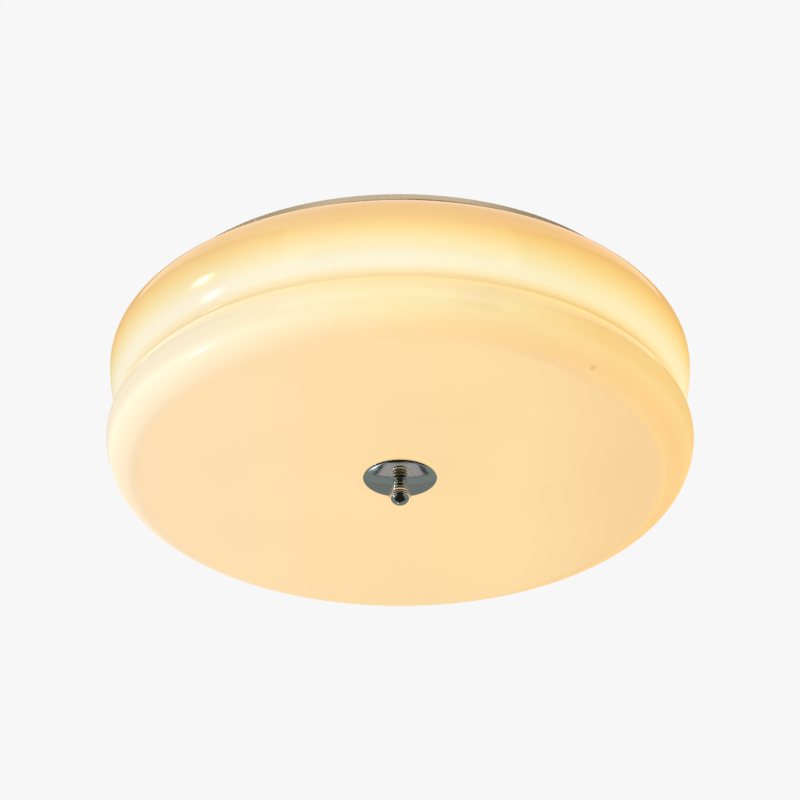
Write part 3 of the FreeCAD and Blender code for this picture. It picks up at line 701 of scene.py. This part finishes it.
def rounded_box(name, size, finish, edge=0.3, segments=2):
    """A box with eased edges, its lowest face at z = 0, centred on x and y."""
    shape = bmesh.new()
    bmesh.ops.create_cube(shape, size=1.0)
    bmesh.ops.scale(shape, vec=[s * MM for s in size], verts=shape.verts)
    bmesh.ops.translate(shape, vec=(0, 0, size[2] / 2 * MM), verts=shape.verts)
    bmesh.ops.bevel(shape, geom=shape.edges[:], offset=edge * MM, segments=segments, affect="EDGES", profile=0.5)
    made = mesh_object(name, [], [])
    shape.to_mesh(made.data)
    shape.free()
    made.data.materials.append(finish)
    settle(made, 40)
    return made


def cut_away(target, *cutters):
    """Takes the cutters out of the target, and removes them."""
    for cutter in cutters:
        modifier = target.modifiers.new("cut", "BOOLEAN")
        modifier.operation, modifier.solver, modifier.object = "DIFFERENCE", "EXACT", cutter
    bpy.context.view_layer.update()
    evaluated = target.evaluated_get(bpy.context.evaluated_depsgraph_get())
    mesh = bpy.data.meshes.new_from_object(evaluated)
    target.modifiers.clear()
    target.data = mesh
    for cutter in cutters:
        bpy.data.objects.remove(cutter)
    return settle(target, 30)


def placed(made, x, y, z, turn=None):
    """Moves the mesh itself, after turning it, so that the object stays at the origin."""
    made.data.transform(Matrix.Translation((x * MM, y * MM, z * MM)) @ (turn or Matrix.Identity(4)))
    return made


def driver_case():
    """The driver's box: eased edges, vents over both ends and along the sides, and a recess for its label."""
    x, y, low = DRIVER_X, DRIVER_Y, DRIVER_LOW
    case = placed(rounded_box("driver_case", (104, 34, 20), CASE, 0.9, 3), x, y, low)
    inside = placed(rounded_box("inside", (101, 31, 18.6), CASE, 0.6, 2), x, y, low - 0.1)
    label = placed(rounded_box("label_recess", (50, 20, 0.8), CASE, 0.2, 1), x, y, low + 19.6)
    vents = []
    for side in (-1, 1):
        vents += [placed(rounded_box("vent", (1.5, 17, 4), CASE, 0.5, 2), side * (30 + 3.2 * k), y, low + 17)
                  for k in range(6)]
        vents += [placed(rounded_box("vent", (1.6, 4, 8), CASE, 0.5, 2), x - 18 + 4 * k, y + side * 17, low + 7)
                  for k in range(10)]
        vents += [placed(rounded_box("catch", (7, 4, 2.4), CASE, 0.3, 2), x + 38 * way, y + side * 17, low + 2.6)
                  for way in (-1, 1)]
    cut_away(case, inside, label, joined("vents", *vents))
    tabs = [placed(rounded_box("tab", (5.6, 1.0, 1.7), CASE, 0.3, 2), x + 38 * way, y + side * 16.1, low + 2.95)
            for side in (-1, 1) for way in (-1, 1)]
    piece = joined("driver_case_vented", case, *tabs)
    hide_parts("driver_cover")
    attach(piece, "fixture")


def terminal_body():
    """The terminal block: eased edges, flared wire entries, screw wells and grooves between its poles."""
    x, y, low, high = TERMINAL_X, TERMINAL_Y, TERMINAL_LOW, TERMINAL_HIGH
    body = placed(rounded_box("terminal_body", (34, 18, high - low), NYLON, 0.7, 3), x, y, low)
    through = [(0, low - 1), (1.75, low - 1), (1.75, high - 7.5), (3.1, high - 7.5), (3.1, high + 1), (0, high + 1)]
    holes = [turned("through", [Vector(p) for p in through], NYLON, 40, x, y)]
    well = [(0, high - 4.5), (2.6, high - 4.5), (2.6, high - 0.4), (3.1, high + 0.1), (3.1, high + 1), (0, high + 1)]
    entry = [(0, -6), (1.75, -6), (1.75, -1.3), (2.7, 0.05), (2.7, 0.6), (0, 0.6)]
    for pole in (-1, 0, 1):
        for side in (-1, 1):
            shift = 4.6 + (0.8 if pole == 0 else 0.0)
            holes.append(turned("well", [Vector(p) for p in well], NYLON, 32, x + 10 * pole, y + side * shift))
            way = Matrix.Rotation(math.radians(-90 * side), 4, "X")
            mouth = turned("entry", [Vector(p) for p in entry], NYLON, 32)
            holes.append(placed(mouth, x + 10 * pole, y + side * 9, -25.0, way))
    grooves = [placed(rounded_box("groove", (0.8, 20, 2), NYLON, 0.2, 1), x + 5 * side, y, high - 1.1)
               for side in (-1, 1)]
    cut_away(body, *holes, *grooves)
    body.name = "terminal_body_moulded"
    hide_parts("terminal_block")
    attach(body, "fixture")


def knurled(name, outline, ridges, finish, x):
    """A turned piece whose outline points (r, z, depth) are fluted to that depth."""
    steps = ridges * 6
    points, faces = [], []
    for k in range(steps):
        turn = 2 * math.pi * k / steps
        wave = 0.5 - 0.5 * math.cos(ridges * turn)
        points += [((x + (r - depth * wave) * math.cos(turn)) * MM, (r - depth * wave) * math.sin(turn) * MM, z * MM)
                   for r, z, depth in outline]
    count = len(outline)
    for k in range(steps):
        here, there = k * count, (k + 1) % steps * count
        for i in range(count):
            j = (i + 1) % count
            faces.append((here + i, here + j, there + j, there + i))
    made = mesh_object(name, points, faces)
    made.data.materials.append(finish)
    return settle(made, 40)


def thumb_nuts():
    """Knurled nuts with a plain collar, screwed up under the tray."""
    outline = [
        (2.15, -34.3, 0), (2.45, -34.0, 0), (4.3, -34.0, 0), (4.6, -34.3, 0), (4.6, -36.0, 0), (4.8, -36.2, 0),
        (6.1, -36.2, 0), (6.45, -36.35, 0), (6.8, -36.9, 0.1), (6.8, -37.1, 0.4), (6.8, -40.1, 0.4),
        (6.8, -40.3, 0.1), (6.45, -40.85, 0), (6.1, -41.0, 0), (2.6, -41.0, 0), (2.15, -40.6, 0),
    ]
    piece = joined("thumb_nuts_knurled", *[knurled("nut", outline, 36, BRASS, side * BOLT_X) for side in (-1, 1)])
    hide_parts("thumb_nuts")
    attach(piece, "fixture")


def pan_screw(name, length, finish, head_up=True):
    """A cross-recess pan-head screw whose seat is at z = 0."""
    flip = 1 if head_up else -1
    head = [(0, 0), (2.8, 0), (2.8, 0.55), (2.62, 1.1), (2.2, 1.5), (1.4, 1.76), (0, 1.8)]
    shank = [(0, -length), (0.9, -length), (1.4, -length + 0.6), (1.4, -0.02), (0, 0)]
    screw = turned(name, [Vector((r, flip * z)) for r, z in head], finish, 32)
    recess = 0.75 if head_up else -2.15
    arms = [placed(rounded_box("arm", (2.9, 0.75, 1.4), finish, 0.12, 1), 0, 0, recess, Matrix.Rotation(turn, 4, "Z"))
            for turn in (0, math.pi / 2)]
    cut_away(screw, *arms)
    return joined(name, screw, turned("shank", [Vector((r, flip * z)) for r, z in shank], finish, 20))


def small_screws():
    """The light board's, driver's, terminal's and earth's screws."""
    board = []
    for radius, first in ((86.5, 45.0), (110.8, 0.0)):
        for i in range(4):
            turn = math.radians(first + 90.0 * i)
            board.append((radius * math.cos(turn), radius * math.sin(turn), BOARD_LOW, turn * 1.7))
    jobs = [
        ("board_screws", "board_screw_heads", board, 5.0, False, ZINC, "zinc_steel"),
        ("driver_screws", "driver_screw_heads",
         [(-56.5, DRIVER_Y, DRIVER_LOW, 0.4), (56.5, DRIVER_Y, DRIVER_LOW, 1.1)], 4.0, True, ZINC, "zinc_steel"),
        ("terminal_screw", "terminal_screw_head",
         [(TERMINAL_X, TERMINAL_Y, -24.5, 0.7)], 9.5, True, ZINC, "zinc_steel"),
        ("earth_screw", "earth_screw_head", [(-66.0, 22.0, -31.2, 0.3)], 2.8, True, BRASS, "nickel_brass"),
    ]
    for node, name, places, length, head_up, finish, slot in jobs:
        shape = pan_screw("screw", length, finish, head_up)
        piece = repeated(name, shape, places, finish)
        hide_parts(node)
        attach(piece, "fixture")


def light_chips():
    """Chips: a pale package, and a lit gel square that stands a little proud of its face."""
    places = []
    for radius, count in ((74.0, 20), (98.5, 26), (123.0, 32)):
        for i in range(count):
            turn = 2 * math.pi * (i + 0.5) / count
            places.append((radius * math.cos(turn), radius * math.sin(turn), BOARD_LOW, turn))
    thick, proud = 0.7, 0.03
    package = placed(rounded_box("package", (3.0, 3.0, thick), PACKAGE, 0.12, 1), 0, 0, -thick)
    gel = placed(rounded_box("gel", (2.26, 2.26, 0.2), GEL, 0.08, 1), 0, 0, -thick - proud)
    shells = repeated("chip_packages", package, places, PACKAGE)
    gels = repeated("chip_gels", gel, places, GEL)
    for piece, slot in ((shells, "board_white"), (gels, "chip_yellow")):
        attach(piece, "fixture")
        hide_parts("light_chips")


def dress(node, finish):
    """Gives a carried-over node its finish."""
    nodes[node].data.materials.clear()
    nodes[node].data.materials.append(finish)


# =====================================================================================
# Light and camera
# =====================================================================================
def camera():
    """The photograph's view: from below at 30.4 degrees, through a very long lens."""
    elevation, distance, aim = math.radians(30.36), 6.667, -0.0608
    data = bpy.data.cameras.new("view")
    data.sensor_width, data.lens = 36.0, 439.5
    data.clip_start, data.clip_end = 0.1, 60.0
    made = bpy.data.objects.new("view", data)
    made.location = (0, -distance * math.cos(elevation), aim - distance * math.sin(elevation))
    way = Vector((0, math.cos(elevation), math.sin(elevation)))
    made.rotation_mode = "QUATERNION"
    made.rotation_quaternion = way.to_track_quat("-Z", "Y")
    bpy.context.scene.collection.objects.link(made)
    bpy.context.scene.camera = made


def area_light(name, place, size, power):
    """A soft lamp aimed at the light. It shows in no reflection: the cards below do that."""
    data = bpy.data.lights.new(name, "AREA")
    data.shape, data.size, data.size_y = "RECTANGLE", *size
    data.energy = power
    made = bpy.data.objects.new(name, data)
    made.location = place
    made.rotation_mode = "QUATERNION"
    made.rotation_quaternion = (Vector((0, 0, -0.06)) - Vector(place)).to_track_quat("-Z", "Y")
    made.visible_glossy = False
    bpy.context.scene.collection.objects.link(made)


def emptied(owner):
    """The node tree of a material or world, without its nodes."""
    owner.use_nodes = True
    owner.node_tree.nodes.clear()
    return owner.node_tree


def card(name, corners, colour, strength=1.0, soft=False):
    """A studio card seen only in reflections. soft fades it out toward its edges."""
    made = mesh_object(name, corners, [tuple(range(len(corners)))])
    paint = bpy.data.materials.new(name)
    tree = emptied(paint)
    shine = tree.nodes.new("ShaderNodeEmission")
    shine.inputs[0].default_value, shine.inputs[1].default_value = (*colour, 1), strength
    output = tree.nodes.new("ShaderNodeOutputMaterial")
    tree.links.new(shine.outputs[0], output.inputs[0])
    if soft:
        made.data.uv_layers.new(name="across")
        for loop, spot in zip(made.data.uv_layers[0].data, ((-1, -1), (1, -1), (1, 1), (-1, 1))):
            loop.uv = spot
        across = tree.nodes.new("ShaderNodeUVMap")
        gradient = tree.nodes.new("ShaderNodeTexGradient")
        gradient.gradient_type = "QUADRATIC_SPHERE"
        tree.links.new(across.outputs[0], gradient.inputs[0])
        boost = tree.nodes.new("ShaderNodeMath")
        boost.operation = "MULTIPLY"
        boost.inputs[1].default_value = strength
        tree.links.new(gradient.outputs["Fac"], boost.inputs[0])
        tree.links.new(boost.outputs[0], shine.inputs[1])
        clear = tree.nodes.new("ShaderNodeBsdfTransparent")
        mix = tree.nodes.new("ShaderNodeAddShader")
        tree.links.new(shine.outputs[0], mix.inputs[0])
        tree.links.new(clear.outputs[0], mix.inputs[1])
        tree.links.new(mix.outputs[0], output.inputs[0])
    made.data.materials.append(paint)
    for sight in ("camera", "diffuse", "transmission", "volume_scatter", "shadow"):
        setattr(made, "visible_" + sight, False)


def upright(y, x_low, x_high, low, high):
    """Corners of an upright card across the view."""
    return [(x_low, y, low), (x_high, y, low), (x_high, y, high), (x_low, y, high)]


def level(z, x_low, x_high, y_low, y_high):
    """Corners of a card that lies flat."""
    return [(x_low, y_low, z), (x_high, y_low, z), (x_high, y_high, z), (x_low, y_high, z)]


def strip(bearing, elevation, wide, tall, origin=(-0.132, -0.146, -0.055), distance=3.4):
    """Corners of a card that faces the left of the glass from the given bearing and elevation (degrees)."""
    turn, rise = math.radians(bearing), math.radians(elevation)
    way = Vector((math.cos(turn) * math.cos(rise), math.sin(turn) * math.cos(rise), math.sin(rise)))
    across = Vector((-math.sin(turn), math.cos(turn), 0))
    lift = way.cross(across) * -1
    middle = Vector(origin) + way * distance
    return [middle + across * (sx * wide / 2) + lift * (sz * tall / 2)
            for sx, sz in ((-1, -1), (1, -1), (1, 1), (-1, 1))]


PALE = srgb(247, 247, 247)


def backdrop(tree, lit, seen, output):
    """Shows seen to the camera, in gloss and through glass, and lights as lit otherwise."""
    path = tree.nodes.new("ShaderNodeLightPath")
    sight = path.outputs["Is Camera Ray"]
    for ray in ("Is Glossy Ray", "Is Transmission Ray"):
        either = tree.nodes.new("ShaderNodeMath")
        either.operation = "MAXIMUM"
        tree.links.new(sight, either.inputs[0])
        tree.links.new(path.outputs[ray], either.inputs[1])
        sight = either.outputs[0]
    seen.inputs[0].default_value, seen.inputs[1].default_value = (*PALE, 1), 1.0
    mix = tree.nodes.new("ShaderNodeMixShader")
    tree.links.new(sight, mix.inputs[0])
    tree.links.new(lit.outputs[0], mix.inputs[1])
    tree.links.new(seen.outputs[0], mix.inputs[2])
    tree.links.new(mix.outputs[0], tree.nodes.new(output).inputs[0])


def studio():
    """A pale world and floor, and two soft lamps."""
    world = bpy.data.worlds.new("studio")
    bpy.context.scene.world = world
    tree = emptied(world)
    lit = tree.nodes.new("ShaderNodeBackground")
    lit.inputs[0].default_value, lit.inputs[1].default_value = (1, 1, 1, 1), 0.62
    backdrop(tree, lit, tree.nodes.new("ShaderNodeBackground"), "ShaderNodeOutputWorld")

    wide, low = 14, -9
    floor = mesh_object("floor", level(low, -wide, wide, -wide, wide), [(0, 1, 2, 3)])
    coat = bpy.data.materials.new("floor_paint")
    tree = emptied(coat)
    lit = tree.nodes.new("ShaderNodeBsdfDiffuse")
    lit.inputs[0].default_value = (0.8, 0.8, 0.8, 1)
    backdrop(tree, lit, tree.nodes.new("ShaderNodeEmission"), "ShaderNodeOutputMaterial")
    floor.data.materials.append(coat)

    area_light("left_box", (-3.2, -1.6, 0.3), (1.4, 1.4), 55)
    area_light("top_fill", (1.5, -1.5, 3.6), (2.2, 2.2), 55)


GREY_FLOOR, GREY_FLAG = (0.185, 0.222, 0.205), (0.17, 0.185, 0.175)


def reflections():
    """The cards that the glass, the cap and the finial mirror."""
    half, floor, brow, top = 5.0, -2.6, 0.3, 5.0
    corners = {
        "far": ((-half, half), (half, half)),
        "left": ((-half, -half), (-half, half)),
        "right": ((half, half), (half, -half)),
    }
    card("grey_floor", level(floor, -half, half, -half, half), GREY_FLOOR)
    for suffix, low, high, colour in (("_flag", floor, brow, GREY_FLAG), ("_sky", brow, top, (0.24, 0.193, 0.12))):
        for name, ((x0, y0), (x1, y1)) in corners.items():
            card(name + suffix, [(x0, y0, low), (x1, y1, low), (x1, y1, high), (x0, y0, high)], colour)
    for name, left, right in (("near_left", -half, -3.4), ("near_right", 3.4, half)):
        card(name + "_flag", upright(-4.9, left, right, floor, brow), GREY_FLAG)
    card("near_flag", upright(-4.6, -3.4, 3.4, -5.4, 1.0), (0.012, 0.012, 0.012))
    card("dark_band", level(-2.55, -0.34, 0.12, -0.3, 1.93), (0.008, 0.006, 0.004))
    card("dim_band", level(-2.56, 0.08, 0.40, 1.3, 1.93), (0.05, 0.05, 0.05))
    card("patch_edge", [(-0.41, 1.86, -2.57), (0.46, 1.86, -2.57), (0.78, 3.42, -2.57), (-0.74, 3.42, -2.57)],
         (0.045, 0.045, 0.045))
    card("patch", [(-0.32, 1.95, -2.54), (0.37, 1.95, -2.54), (0.66, 3.28, -2.54), (-0.63, 3.28, -2.54)],
         (0.34, 0.325, 0.33))
    card("left_glint", [(-0.74, 1.45, -2.53), (-0.36, 1.45, -2.53), (-0.60, 3.1, -2.53), (-1.35, 3.1, -2.53)],
         (0.9, 1.0, 1.12), 3.2, True)
    card("near_floor", level(-2.58, -3.4, 3.4, -4.6, 0.9), (0.015, 0.014, 0.012))
    # Two stops keep the strips off the lower lobe's top, and the cap's glint off the glass's floor.
    beside = ((-0.205, 0.1), (-1.3, 0.1), (-1.3, -0.9), (-0.155, -0.9), (-0.155, -0.135), (-0.19, -0.08))
    card("strip_stop", [(x, y, -0.0755) for x, y in beside], (0.2, 0.2, 0.19))
    card("glint_stop", level(-0.20, -0.26, -0.10, -0.20, 0.06), GREY_FLOOR)
    # The three highlights at the left of the glass.
    white, bright = (1, 1, 1), 24.0
    card("upper_strip", strip(-170.5, 18.0, 0.95, 0.36), white, bright, True)
    card("middle_strip", strip(-165.0, 4.5, 0.95, 0.40), white, bright, True)
    card("lower_strip", strip(-170.5, -12.8, 0.95, 0.55, (-0.133, -0.144, -0.107)), white, bright, True)


camera()
studio()
reflections()
glass_shade()
domed_cap()
finial()
central_rod()
hanging_bolts()
small_screws()
light_chips()
driver_case()
terminal_body()
thumb_nuts()
for node, finish in {
    "ceiling_tray": TRAY, "ceiling_bracket": ZINC, "bolt_locknuts": ZINC, "tray_washers": ZINC,
    "rod_upper_washer": ZINC, "rod_upper_nut": ZINC, "rod_lower_washer": ZINC, "rod_lower_nut": ZINC,
    "shade_stop_washer": ZINC, "shade_stop_nut": ZINC, "shade_gasket": FOAM, "shade_bush": SILICONE,
    "cap_cushion": SILICONE, "light_board": BOARD, "driver_plate": CASE,
    "driver_circuit": CIRCUIT, "driver_components": BLACK, "clamp_screws": BRASS,
    "live_lead": BROWN, "neutral_lead": BLUE, "earth_lug": ZINC, "earth_lead": EARTH, "lead_grommet": RUBBER,
    "lamp_lead": WHITE_SLEEVE, "board_plug": NYLON,
}.items():
    dress(node, finish)

bpy.context.scene.view_settings.view_transform = "Standard"
